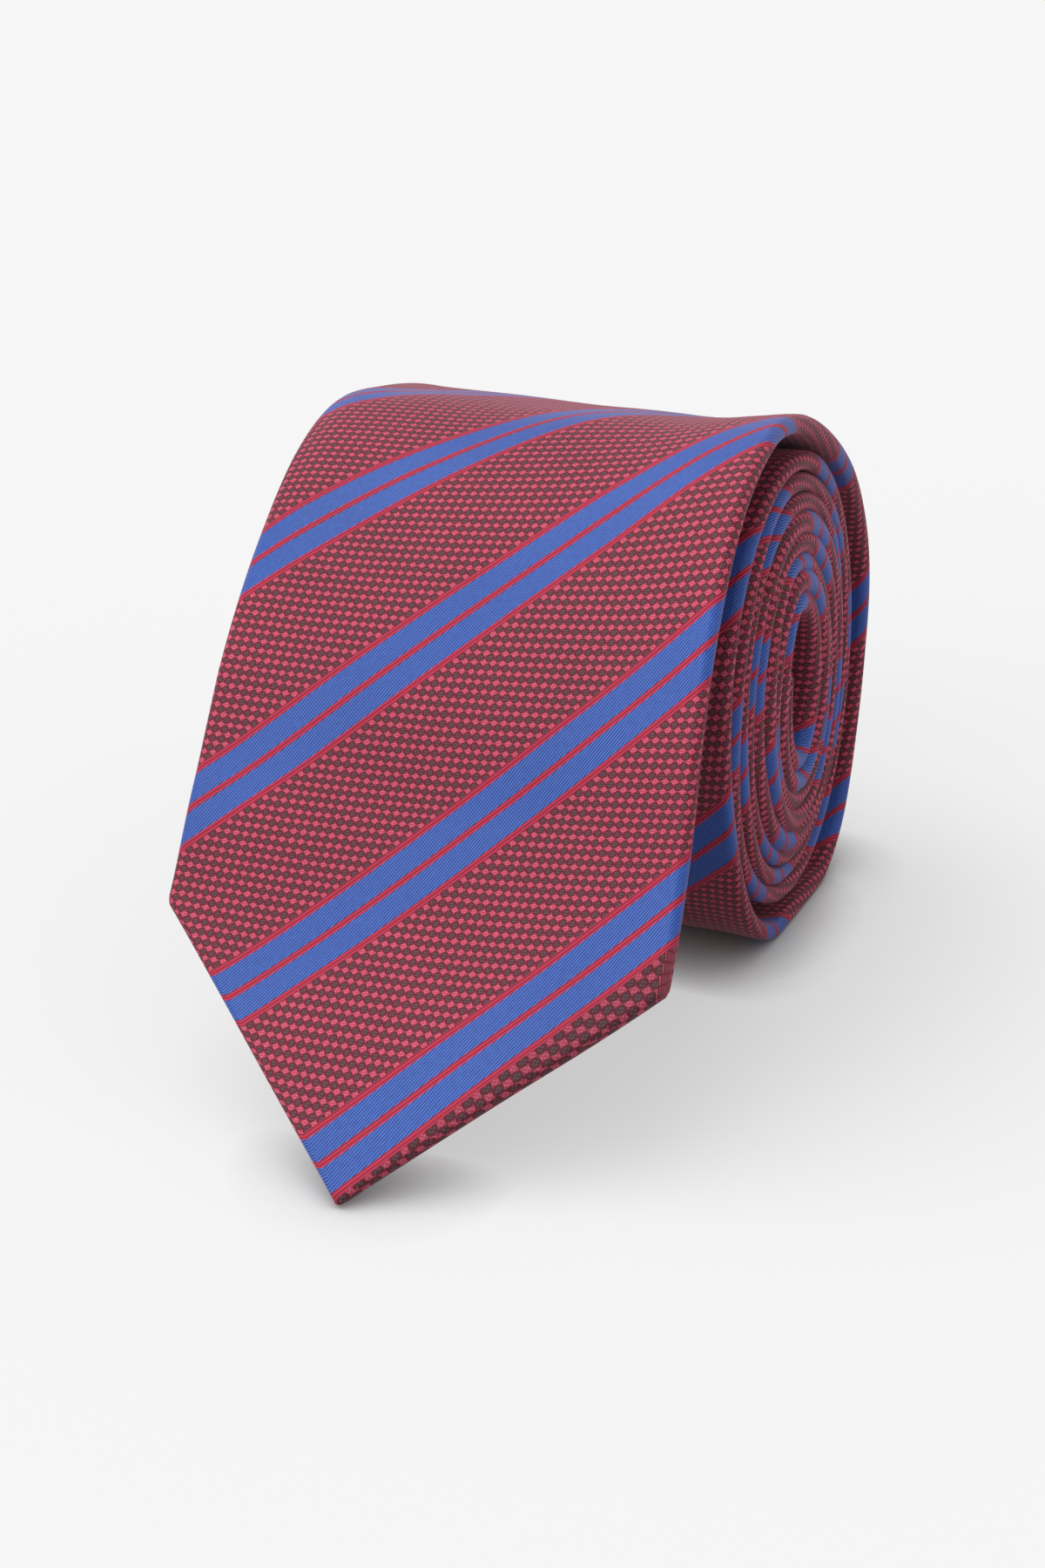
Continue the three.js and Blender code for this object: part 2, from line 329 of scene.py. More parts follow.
class ClothGrid:
    """A grid of cloth: rows along the tie and columns across it."""

    def __init__(self, points: Points, cloth: Points, fold_highlight: Optional[Points] = None) -> None:
        """Takes the settled points and the cloth's own coordinates.

        Args:
            points: Places in metres, rows by columns by 3.
            cloth: The cloth's own place in millimetres, rows by columns by 2.
            fold_highlight: How much lighter each point is painted, 0 to 1: a painted highlight
                along the folded edges.
        """
        self.points = points
        self.cloth = cloth
        self.fold_highlight = np.zeros(points.shape[:2]) if fold_highlight is None else fold_highlight

    def build(
        self,
        name: str,
        outward: Points,
        thickness: float,
        corner_cloth: Optional[tuple[Points, Points]] = None,
    ) -> bpy.types.Object:
        """Makes the mesh from a grid and gives it its thickness.

        Args:
            name: The piece's name.
            outward: A direction that the grid's middle face looks along.
            thickness: The cloth's thickness in millimetres, grown inward.
            corner_cloth: Another set of cloth coordinates, and the faces that use it.

        Returns:
            The finished object, at the origin.
        """
        rows, columns = self.points.shape[:2]
        bm = bmesh.new()
        bmesh.ops.create_grid(bm, x_segments=columns - 1, y_segments=rows - 1, size=0.5)
        bm.verts.ensure_lookup_table()
        flat = np.array([v.co[:2] for v in bm.verts])
        column = np.rint((flat[:, 0] + 0.5) * (columns - 1)).astype(int)
        row = np.rint((flat[:, 1] + 0.5) * (rows - 1)).astype(int)
        layer = bm.loops.layers.uv.new(CLOTH_MAP)
        # Each point keeps how strong its painted fold highlight is.
        painted_highlight = bm.verts.layers.float.new(FOLD_HIGHLIGHT)
        for k, vert in enumerate(bm.verts):
            vert.co = self.points[row[k], column[k]]
            vert[painted_highlight] = float(self.fold_highlight[row[k], column[k]])
        for face in bm.faces:
            corners = [(row[v.index], column[v.index]) for v in face.verts]
            low = min(r for r, _ in corners), min(c for _, c in corners)
            folded = corner_cloth is not None and corner_cloth[1][low]
            source = corner_cloth[0] if folded else self.cloth
            for loop, place in zip(face.loops, corners):
                loop[layer].uv = source[place]
            face.smooth = True
        bm.normal_update()
        bm.faces.ensure_lookup_table()
        centre = Vector(self.points[rows // 2, columns // 2])
        middle = min(bm.faces, key=lambda face: (face.calc_center_median() - centre).length)
        if middle.normal.dot(Vector(outward)) < 0:
            bmesh.ops.reverse_faces(bm, faces=bm.faces)
        piece = new_object(name, bm)
        wall = piece.modifiers.new("cloth", "SOLIDIFY")
        wall.thickness = thickness * MM
        wall.offset = -1.0
        wall.use_even_offset = False
        wall.use_quality_normals = True
        apply_modifiers(piece)
        piece.data.set_sharp_from_angle(angle=SHARP_FROM)
        return piece


def new_object(name: str, bm: bmesh.types.BMesh) -> bpy.types.Object:
    """Turns a bmesh into an object at the origin.

    Args:
        name: The piece's name.
        bm: The shape, which is freed.

    Returns:
        The object, linked to the scene.
    """
    mesh = bpy.data.meshes.new(name)
    bm.to_mesh(mesh)
    bm.free()
    piece = bpy.data.objects.new(name, mesh)
    bpy.context.scene.collection.objects.link(piece)
    return piece


def apply_modifiers(piece: bpy.types.Object) -> None:
    """Makes the mesh what its modifiers show, and takes them off."""
    graph = bpy.context.evaluated_depsgraph_get()
    graph.update()
    mesh = bpy.data.meshes.new_from_object(piece.evaluated_get(graph))
    piece.modifiers.clear()
    piece.data = mesh


# ------------------------------------------------------------------------------- node groups


class Graph:
    """A short way of writing a node tree."""

    def __init__(self, tree: bpy.types.NodeTree) -> None:
        """Keeps the tree that nodes are added to."""
        self.tree = tree
        self.column = 0

    def node(self, kind: str, settings: Optional[dict] = None, **inputs: object) -> bpy.types.Node:
        """Adds a node.

        Args:
            kind: The node's type.
            settings: Its properties.
            **inputs: Values or sockets by input name, with spaces written as underscores.

        Returns:
            The node.
        """
        made = self.tree.nodes.new(kind)
        made.location = (self.column * 170, -(self.column % 7) * 120)
        self.column += 1
        for key, value in (settings or {}).items():
            setattr(made, key, value)
        for key, value in inputs.items():
            self.put(made.inputs[key.replace("_", " ")], value)
        return made

    def put(self, socket: bpy.types.NodeSocket, value: object) -> None:
        """Links a socket to another, or sets its value."""
        if isinstance(value, bpy.types.NodeSocket):
            self.tree.links.new(value, socket)
        elif isinstance(value, tuple) and len(value) == 3 and socket.type == "RGBA":
            socket.default_value = (*value, 1.0)
        else:
            socket.default_value = value

    def math(self, operation: str, *values: object) -> bpy.types.NodeSocket:
        """Adds a Math node and returns its result."""
        made = self.node("ShaderNodeMath", {"operation": operation})
        for socket, value in zip(made.inputs, values):
            self.put(socket, value)
        return made.outputs[0]

    def ease(self, value: object, low: float, high: float) -> bpy.types.NodeSocket:
        """Eases a value from 0 at low to 1 at high."""
        made = self.node("ShaderNodeMapRange", {"interpolation_type": "SMOOTHSTEP"})
        for key, item in (("Value", value), ("From Min", low), ("From Max", high)):
            self.put(made.inputs[key], item)
        return made.outputs["Result"]

    def mix(self, factor: object, first: object, second: object) -> bpy.types.NodeSocket:
        """Mixes two colours."""
        made = self.node("ShaderNodeMix", {"data_type": "RGBA"})
        self.put(made.inputs[0], factor)
        self.put(made.inputs[6], first)
        self.put(made.inputs[7], second)
        return made.outputs[2]

    def blend(self, factor: object, first: object, second: object) -> bpy.types.NodeSocket:
        """Mixes two numbers."""
        made = self.node("ShaderNodeMix", {"data_type": "FLOAT"})
        self.put(made.inputs[0], factor)
        self.put(made.inputs[2], first)
        self.put(made.inputs[3], second)
        return made.outputs[0]

    def noise(self, vector: object, scale: float, detail: float = 2.0) -> bpy.types.NodeSocket:
        """Adds a noise texture and returns its value."""
        made = self.node("ShaderNodeTexNoise", Vector=vector, Scale=scale, Detail=detail)
        return made.outputs[0]


class EffectGroup:
    """A shader node group that several finishes share."""

    def __init__(self, name: str, inputs: dict[str, object], outputs: Sequence[str]) -> None:
        """Makes the group and its sockets.

        Args:
            name: The group's name.
            inputs: Default values by input name; a vector's is None.
            outputs: The outputs' names.
        """
        self.tree = bpy.data.node_groups.new(name, "ShaderNodeTree")
        for label, value in inputs.items():
            kind = "NodeSocketVector" if value is None else "NodeSocketFloat"
            socket = self.tree.interface.new_socket(label, in_out="INPUT", socket_type=kind)
            if value is not None:
                socket.default_value = value
        for label in outputs:
            self.tree.interface.new_socket(label, in_out="OUTPUT", socket_type="NodeSocketFloat")
        self.graph = Graph(self.tree)
        self.source = self.tree.nodes.new("NodeGroupInput")
        self.sink = self.tree.nodes.new("NodeGroupOutput")

    def give(self, **results: bpy.types.NodeSocket) -> None:
        """Links results to the outputs of the same names."""
        for label, socket in results.items():
            self.tree.links.new(socket, self.sink.inputs[label])

    def use(self, graph: Graph, **values: object) -> bpy.types.Node:
        """Places the group in a material's tree with its own values."""
        made = graph.node("ShaderNodeGroup", {"node_tree": self.tree})
        for label, value in values.items():
            graph.put(made.inputs[label], value)
        return made


class Effects:
    """The shared effects: striping, star weave, twill ribs and uneven dye."""

    EDGE = 0.06

    def __init__(self) -> None:
        """Builds each group once."""
        self.stripes = self._stripes()
        self.stars = self._stars()
        self.ribs = self._ribs()
        self.uneven = self._uneven()

    def _stripes(self) -> EffectGroup:
        """Masks of the satin bands and of the cords beside them, across a 45 degree stripe."""
        group = EffectGroup(
            "Diagonal stripe",
            {"Cloth": None, "Repeat": 27.0, "Middle": 10.0, "Half": 4.8, "Cord": 0.95},
            ("Satin", "Line", "Border"),
        )
        g, i = group.graph, group.source.outputs
        split = g.node("ShaderNodeSeparateXYZ", Vector=i["Cloth"])
        ahead = g.math("SUBTRACT", split.outputs[1], split.outputs[0])
        across = g.math("MULTIPLY", ahead, math.sqrt(0.5))
        half_repeat = g.math("MULTIPLY", i["Repeat"], 0.5)
        from_middle = g.math("ADD", g.math("SUBTRACT", across, i["Middle"]), half_repeat)
        wrapped = g.math("WRAP", from_middle, i["Repeat"], 0.0)
        off = g.math("ABSOLUTE", g.math("SUBTRACT", wrapped, half_repeat))
        past = g.math("SUBTRACT", off, i["Half"])
        inside = g.math("SUBTRACT", 1.0, g.ease(past, -self.EDGE, self.EDGE))
        cord = g.math("SUBTRACT", off, g.math("SUBTRACT", i["Half"], i["Cord"]))
        centre = g.math("SUBTRACT", off, g.math("MULTIPLY", i["Cord"], 0.5))
        satin = g.math(
            "MULTIPLY",
            g.math("SUBTRACT", 1.0, g.ease(cord, -self.EDGE, self.EDGE)),
            g.ease(centre, -self.EDGE, self.EDGE),
        )
        line = g.math("SUBTRACT", inside, satin)
        first = g.math("SUBTRACT", i["Middle"], i["Half"])
        front = g.math("ABSOLUTE", split.outputs[0])
        border = g.math(
            "MULTIPLY",
            g.math("SUBTRACT", 1.0, g.ease(g.math("SUBTRACT", across, first), 0.0, 0.3)),
            g.math("SUBTRACT", 1.0, g.ease(front, 38.5, 40.5)),
        )
        group.give(Satin=satin, Line=line, Border=border)
        return group

    @staticmethod
    def _stars() -> EffectGroup:
        """Masks of a star-woven ground: stars, the squares between, their flecks and grooves."""
        group = EffectGroup(
            "Star ground", {"Cloth": None, "Pitch": 1.46, "Skew": 0.105},
            ("Star", "Square", "Fleck", "Groove", "Height"),
        )
        g, i = group.graph, group.source.outputs
        split = g.node("ShaderNodeSeparateXYZ", Vector=i["Cloth"])
        shake = g.math("MULTIPLY", g.math("SUBTRACT", g.noise(i["Cloth"], 1.1), 0.5), 0.2)
        across, upward = (
            g.math("SUBTRACT", split.outputs[k],
                   g.math("MULTIPLY", split.outputs[1 - k], i["Skew"]))
            for k in (0, 1)
        )
        cells = [g.math("ADD", g.math("DIVIDE", c, i["Pitch"]), shake) for c in (across, upward)]
        near = [g.math("ABSOLUTE", g.math("SUBTRACT", g.math("FRACT", c), 0.5)) for c in cells]
        slant = g.math("ABSOLUTE", g.math(
            "SUBTRACT", g.math("FRACT", g.math("ADD", cells[0], cells[1])), 0.5))
        groove = g.math("SUBTRACT", 1.0, g.ease(slant, 0.03, 0.13))
        roots = [g.math("POWER", n, 0.6) for n in near]
        reach = g.math("MULTIPLY_ADD", roots[0], 0.8, roots[1])
        frayed = g.math("MULTIPLY", g.math("SUBTRACT", g.noise(i["Cloth"], 4.2), 0.5), 0.22)
        star = g.math("SUBTRACT", 1.0, g.ease(g.math("ADD", reach, frayed), 0.60, 0.74))
        away = [g.math("SUBTRACT", 0.5, n) for n in near]
        square = g.math("SUBTRACT", 1.0, g.ease(
            g.math("ADD", g.math("ADD", *away), frayed), 0.22, 0.50))
        picks = [g.math("FRACT", g.math("MULTIPLY", c, 4.0)) for c in cells]
        tops = [g.math("SINE", g.math("MULTIPLY", c, math.pi)) for c in picks]
        fleck = g.math("MULTIPLY", *tops)
        height = g.math("ADD", g.math("MULTIPLY", star, 0.8), g.math("MULTIPLY", square, 0.35))
        height = g.math("MULTIPLY_ADD", fleck, 0.25, height)
        group.give(Star=star, Square=square, Fleck=fleck, Groove=groove, Height=height)
        return group

    @staticmethod
    def _ribs() -> EffectGroup:
        """Fine ribs of yarn, so far apart and at an angle to the cloth's length."""
        group = EffectGroup(
            "Yarn ribs", {"Cloth": None, "Period": 0.31, "Angle": 0.7, "Break": 1.4},
            ("Rib", "Fleck"),
        )
        g, i = group.graph, group.source.outputs
        split = g.node("ShaderNodeSeparateXYZ", Vector=i["Cloth"])
        along = [g.math(f, i["Angle"]) for f in ("COSINE", "SINE")]
        across = g.math(
            "SUBTRACT",
            g.math("MULTIPLY", split.outputs[1], along[0]),
            g.math("MULTIPLY", split.outputs[0], along[1]),
        )
        run = g.math(
            "ADD",
            g.math("MULTIPLY", split.outputs[0], along[0]),
            g.math("MULTIPLY", split.outputs[1], along[1]),
        )
        phase = g.math("MULTIPLY", g.math("DIVIDE", across, i["Period"]), 2 * math.pi)
        rib = g.math("MULTIPLY_ADD", g.math("SINE", phase), 0.5, 0.5)
        place = g.node("ShaderNodeCombineXYZ")
        g.put(place.inputs[0], g.math("DIVIDE", run, i["Break"]))
        g.put(place.inputs[1], g.math("DIVIDE", across, i["Period"]))
        fleck = g.noise(place.outputs[0], 1.0, 1.0)
        group.give(Rib=rib, Fleck=fleck)
        return group

    @staticmethod
    def _uneven() -> EffectGroup:
        """Slow unevenness of dye and handling, and fine fuzz."""
        group = EffectGroup("Uneven dye", {"Cloth": None, "Size": 22.0}, ("Slow", "Fuzz"))
        g, i = group.graph, group.source.outputs
        scaled = g.node("ShaderNodeVectorMath", {"operation": "SCALE"}, Vector=i["Cloth"])
        g.put(scaled.inputs["Scale"], g.math("DIVIDE", 1.0, i["Size"]))
        slow = g.noise(scaled.outputs[0], 1.0, 3.0)
        fuzz = g.noise(i["Cloth"], 5.0, 2.0)
        group.give(Slow=slow, Fuzz=fuzz)
        return group


# ----------------------------------------------------------------------------------- finishes


def srgb(red: int, green: int, blue: int) -> Colour:
    """A screen colour as the linear one that a shader takes."""
    parts = (c / 255 for c in (red, green, blue))
    return tuple(c / 12.92 if c <= 0.04045 else ((c + 0.055) / 1.055) ** 2.4 for c in parts)


def start_material(
    name: str, **constants: object
) -> tuple[bpy.types.Material, Graph, bpy.types.Node]:
    """Makes a material with its Principled shader.

    Args:
        name: The material's name.
        **constants: Values set on the shader's own sockets, with underscores for spaces.

    Returns:
        The material, its graph and the shader node.
    """
    material = bpy.data.materials.new(name)
    material.use_nodes = True
    graph = Graph(material.node_tree)
    shader = material.node_tree.nodes["Principled BSDF"]
    for key, value in constants.items():
        graph.put(shader.inputs[key.replace("_", " ")], value)
    return material, graph, shader


def cloth_place(graph: Graph) -> bpy.types.NodeSocket:
    """The cloth's own place, in millimetres."""
    return graph.node("ShaderNodeUVMap", {"uv_map": CLOTH_MAP}).outputs["UV"]


@dataclass(frozen=True)
class StripedSilk:
    """The tie's shell: a star-woven ground under diagonal satin stripes with cord edges."""

    star_light: Colour = srgb(255, 122, 150)
    star_dark: Colour = srgb(196, 54, 84)
    square_light: Colour = srgb(138, 92, 100)
    square_dark: Colour = srgb(74, 40, 50)
    ground: Colour = srgb(118, 22, 44)
    satin_light: Colour = srgb(88, 140, 250)
    satin_dark: Colour = srgb(0, 10, 84)
    cord_light: Colour = srgb(232, 62, 96)
    cord_dark: Colour = srgb(140, 16, 48)
    pitch: float = 1.46
    border_pitch: float = 0.42
    border_shade: float = -0.34
    groove: float = 0.6
    bump: float = 0.6
    relief_m: float = 0.00013

    def build(self, effects: Effects) -> bpy.types.Material:
        """Makes the material from the shared effects."""
        material, g, shader = start_material(
            "striped_silk", Sheen_Weight=0.35, Sheen_Roughness=0.4,
            Sheen_Tint=(1.0, 0.62, 0.74), Specular_IOR_Level=0.35, Anisotropic=0.25,
        )
        cloth = cloth_place(g)
        stripes = effects.stripes.use(g, Cloth=cloth).outputs
        border = stripes["Border"]
        pitch = g.math("MULTIPLY_ADD", border, self.border_pitch, self.pitch)
        stars = effects.stars.use(g, Cloth=cloth, Pitch=pitch).outputs
        twill = effects.ribs.use(g, Cloth=cloth, Period=0.38, Angle=1.02, Break=1.1).outputs
        cords = effects.ribs.use(
            g, Cloth=cloth, Period=0.475, Angle=math.pi / 4, Break=0.9).outputs
        uneven = effects.uneven.use(g, Cloth=cloth).outputs
        square = g.mix(stars["Fleck"], self.square_dark, self.square_light)
        star = g.mix(stars["Fleck"], self.star_dark, self.star_light)
        weave = g.mix(stars["Square"], self.ground, square)
        weave = g.mix(stars["Star"], weave, star)
        weave = g.mix(g.math("MULTIPLY", stars["Groove"], self.groove), weave, self.ground)
        yarn = g.math("MULTIPLY_ADD", twill["Rib"], 0.72, g.math("MULTIPLY", twill["Fleck"], 0.3))
        satin = g.mix(yarn, self.satin_dark, self.satin_light)
        twist = g.math("MULTIPLY_ADD", cords["Rib"], 0.8, 0.1)
        line = g.mix(twist, self.cord_dark, self.cord_light)
        colour = g.mix(stripes["Satin"], weave, satin)
        colour = g.mix(stripes["Line"], colour, line)
        shade = g.math("MULTIPLY_ADD", uneven["Slow"], 0.22, 0.80)
        shade = g.math("MULTIPLY", shade, g.math("MULTIPLY_ADD", uneven["Fuzz"], 0.24, 0.88))
        shade = g.math("MULTIPLY", shade, g.math("MULTIPLY_ADD", border, self.border_shade, 1.0))
        # Painted highlight: the base colour is made up to a quarter lighter along the crest of each
        # folded edge.
        fold_highlight = g.node("ShaderNodeAttribute", {"attribute_name": FOLD_HIGHLIGHT}).outputs["Fac"]
        shade = g.math("MULTIPLY", shade, g.math("MULTIPLY_ADD", fold_highlight, 0.25, 1.0))
        tinted = g.node("ShaderNodeMix", {"data_type": "RGBA", "blend_type": "MULTIPLY"})
        grey = g.node("ShaderNodeCombineColor")
        for k in range(3):
            g.put(grey.inputs[k], shade)
        g.put(tinted.inputs[0], 1.0)
        g.put(tinted.inputs[6], colour)
        g.put(tinted.inputs[7], grey.outputs[0])
        g.put(shader.inputs["Base Color"], tinted.outputs[2])
        rough = g.blend(stripes["Satin"], 0.62, g.math("MULTIPLY_ADD", twill["Fleck"], 0.12, 0.34))
        g.put(shader.inputs["Roughness"], rough)
        satin_height = g.math("MULTIPLY_ADD", twill["Rib"], 0.35, 0.35)
        line_height = g.math("MULTIPLY_ADD", cords["Rib"], 0.5, 0.55)
        height = g.blend(stripes["Satin"], stars["Height"], satin_height)
        height = g.blend(stripes["Line"], height, line_height)
        bump = g.node("ShaderNodeBump", Strength=self.bump, Distance=self.relief_m, Height=height)
        g.put(shader.inputs["Normal"], bump.outputs[0])
        return material


@dataclass(frozen=True)
class PlainWeave:
    """A plain ribbed cloth or thread, for the lining, labels, interlining and stitches."""

    name: str
    light: Colour
    dark: Colour
    period: float
    angle: float
    roughness: float
    sheen: float = 0.1
    relief_m: float = 0.0001
    on_object: bool = False

    def build(self, effects: Effects) -> bpy.types.Material:
        """Makes the material from the shared effects."""
        material, g, shader = start_material(
            self.name, Sheen_Weight=self.sheen, Sheen_Roughness=0.4, Specular_IOR_Level=0.4
        )
        if self.on_object:
            place = g.node("ShaderNodeTexCoord").outputs["Object"]
            scaled = g.node("ShaderNodeVectorMath", {"operation": "SCALE"}, Vector=place)
            g.put(scaled.inputs["Scale"], 1 / MM)
            cloth = scaled.outputs[0]
        else:
            cloth = cloth_place(g)
        ribs = effects.ribs.use(
            g, Cloth=cloth, Period=self.period, Angle=self.angle, Break=self.period * 5
        ).outputs
        uneven = effects.uneven.use(g, Cloth=cloth, Size=9.0).outputs
        yarn = g.math("MULTIPLY_ADD", ribs["Rib"], 0.5, g.math("MULTIPLY", ribs["Fleck"], 0.45))
        colour = g.mix(yarn, self.dark, self.light)
        colour = g.mix(g.math("MULTIPLY", uneven["Slow"], 0.3), colour, self.dark)
        g.put(shader.inputs["Base Color"], colour)
        rough = g.math("MULTIPLY_ADD", uneven["Fuzz"], 0.15, self.roughness - 0.07)
        g.put(shader.inputs["Roughness"], rough)
        height = g.math("ADD", ribs["Rib"], g.math("MULTIPLY", uneven["Fuzz"], 0.5))
        bump = g.node("ShaderNodeBump", Strength=0.5, Distance=self.relief_m, Height=height)
        g.put(shader.inputs["Normal"], bump.outputs[0])
        return material


class Finish(Enum):
    """The finishes that pieces are dressed in."""

    SILK = "silk"
    LINING = "lining"
    WOOL = "wool"
    THREAD = "thread"
    LABEL = "label"
    CARE = "care"


class Wardrobe:
    """Every finish, built once."""

    def __init__(self) -> None:
        """Builds the shared effects and each finish."""
        effects = Effects()
        plain = {
            Finish.LINING: PlainWeave(
                "lining_satin", srgb(150, 34, 58), srgb(74, 12, 28), 0.3, 1.1, 0.36, 0.25),
            Finish.WOOL: PlainWeave(
                "interlining_wool", srgb(238, 230, 212), srgb(196, 186, 164), 0.9, 0.0, 0.95, 0.3),
            Finish.THREAD: PlainWeave(
                "sewing_thread", srgb(186, 48, 80), srgb(96, 18, 40), 0.35, 0.8, 0.6, 0.2,
                on_object=True),
            Finish.LABEL: PlainWeave(
                "woven_label", srgb(58, 78, 140), srgb(22, 32, 74), 0.34, 0.0, 0.45, 0.2),
            Finish.CARE: PlainWeave(
                "care_ribbon", srgb(240, 238, 232), srgb(204, 200, 192), 0.3, 0.0, 0.5, 0.15),
        }
        self.materials = {finish: cloth.build(effects) for finish, cloth in plain.items()}
        self.materials[Finish.SILK] = StripedSilk().build(effects)

    def dress(self, piece: bpy.types.Object, finish: Finish, slot: str) -> None:
        """Puts a finish on a piece."""
        piece.data.materials.clear()
        piece.data.materials.append(self.materials[finish])


# ------------------------------------------------------------------------------ sub-assemblies


@dataclass
class Placement:
    """How pieces are tied to the two bodies; a piece across the crest is tied to neither."""

    form: TieForm
    behind: float = 13.0
    before: float = 17.0

    def ride(self, piece: bpy.types.Object, s_from: float, s_to: float) -> None:
        """Ties a piece to its body, or bakes its place when it lies across the crest.

        Args:
            piece: The finished piece.
            s_from: Where along the tie it starts.
            s_to: Where it ends.
        """
        crest = self.form.line.crest[0] + self.form.line.shift
        start, end = crest + self.behind, crest - self.before
        y_near = float(self.form.line.at(np.array([s_from]))[0][0]) + self.form.line.shift
        y_far = float(self.form.line.at(np.array([s_to]))[0][0]) + self.form.line.shift
        if s_from >= self.form.line.crest_at + self.behind:
            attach(piece, "roll")
        elif max(y_near, y_far) < end:
            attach(piece, "free_blade")
        else:
            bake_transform(piece)


@dataclass(frozen=True)
class ClothCut:
    """How the cloth lies on the tie: cut a little askew, and eased along the blade's bend.

    Amounts are millimetres along the cloth. A side amount is that at the tie's right edge.
    """

    start: float = 0.64
    side: float = 1.3
    bow: float = 1.28
    tip: float = 6.99
    tip_side: float = 2.97
    tip_reach: float = 60.0
    crest: float = 0.77
    crest_side: float = 9.44
    lag: float = 0.139
    lag_from: float = 141.0
    lag_to: float = 420.0
    lag_ease: float = 12.0

    def place(self, u: Points, v: Points, half: float) -> tuple[Points, Points]:
        """The cloth's own place under a point of the tie.

        Args:
            u: Distances around the tie's section from the middle of its front.
            v: Distances from the tip.
            half: Half the blade's width.

        Returns:
            The place across and along the cloth.
        """
        side = np.clip(u / half, -1.0, 1.0)
        tip = np.maximum(0.0, 1.0 - v / self.tip_reach) ** 2
        top = smooth(v, 75.0, 165.0)
        askew = top * (1.0 - smooth(v, 175.0, 300.0))
        ease = self.start + self.side * side - self.bow * side**2
        ease = ease + tip * (self.tip + self.tip_side * side)
        ease = ease + self.crest * top - self.crest_side * askew * side
        past = (np.minimum(v, self.lag_to) - self.lag_from) / self.lag_ease
        return u, v + ease - self.lag * self.lag_ease * np.logaddexp(0.0, past)


